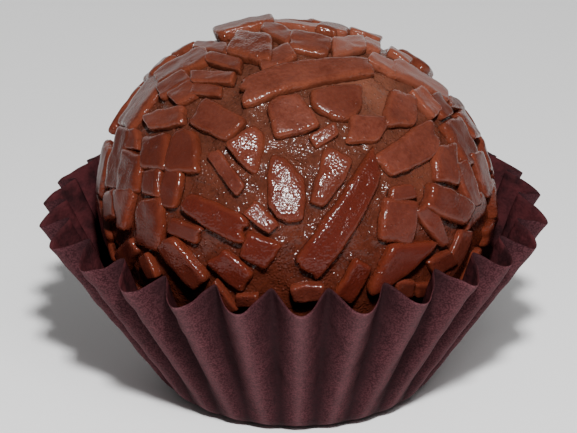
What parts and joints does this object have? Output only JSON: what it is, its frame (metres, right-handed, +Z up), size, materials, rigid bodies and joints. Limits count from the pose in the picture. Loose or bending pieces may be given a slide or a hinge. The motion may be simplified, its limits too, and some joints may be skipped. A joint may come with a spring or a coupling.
{
  "type": "brigadeiro in a fluted paper case",
  "caption": "Round chocolate fudge sweet rolled in flat milk chocolate flakes, settled in a small dark fluted paper case.",
  "frame": {"origin": "centre of the underside of the paper case, on the surface that it stands on", "axes": "+Z up; the front, with the large wedge-shaped flake, faces -Y; +X to the right seen from the front"},
  "size_m": [0.0428, 0.0432, 0.0321],
  "materials": {
    "fudge": "soft glossy chocolate fudge, finely bumpy",
    "flakes": "smooth milk chocolate flakes with a waxy gloss, fused on the fudge",
    "paper": "matt dark maroon-brown greaseproof paper, finely mottled"
  },
  "bodies": {
    "root": {"brigadeiro": "fudge", "paper_case": "paper"}
  },
  "joints": []
}
